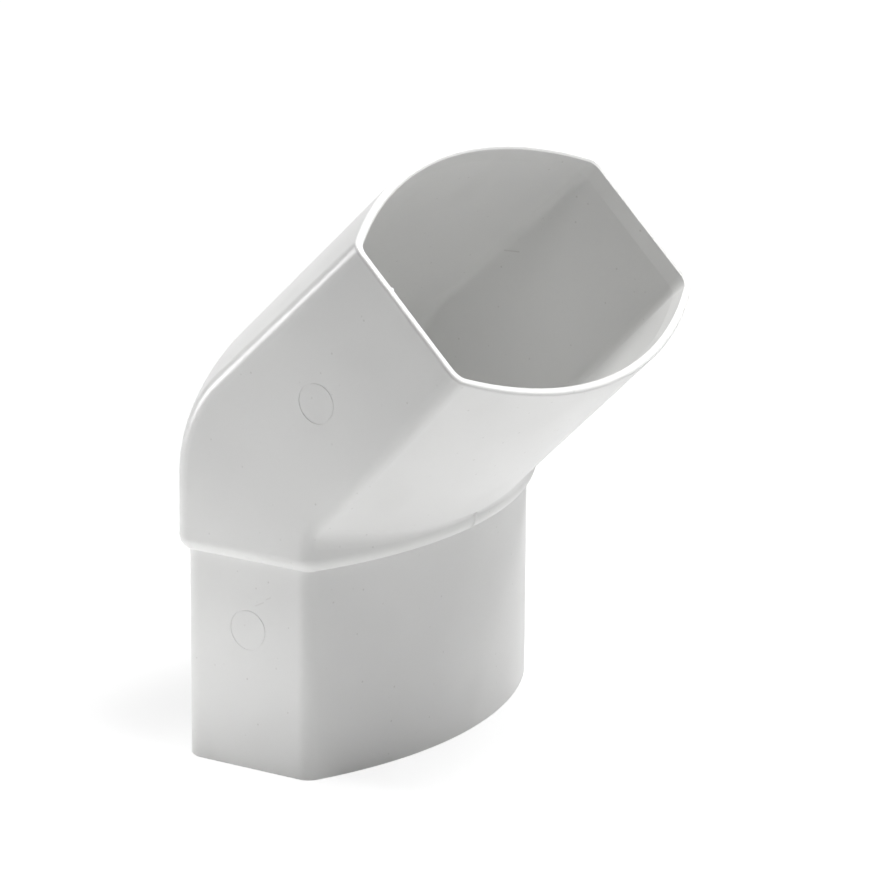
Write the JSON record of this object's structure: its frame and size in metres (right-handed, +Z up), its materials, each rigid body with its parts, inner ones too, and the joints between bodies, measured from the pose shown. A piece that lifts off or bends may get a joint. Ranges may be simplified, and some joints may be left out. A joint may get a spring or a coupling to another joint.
{
  "type": "downspout elbow",
  "caption": "White plastic downspout elbow: a flat-sided oval spigot turns by 45 degrees into a wider socket of the same section.",
  "frame": {"origin": "on the spigot's axis, at its open lower end", "axes": "+Z up along the spigot's axis, +X the way the socket leans, the section's two flats face -Y and +Y"},
  "size_m": [0.1037, 0.1096, 0.145],
  "materials": {
    "white_plastic": "semi-gloss, as moulded"
  },
  "bodies": {
    "root": {"elbow": "white_plastic"}
  },
  "joints": []
}
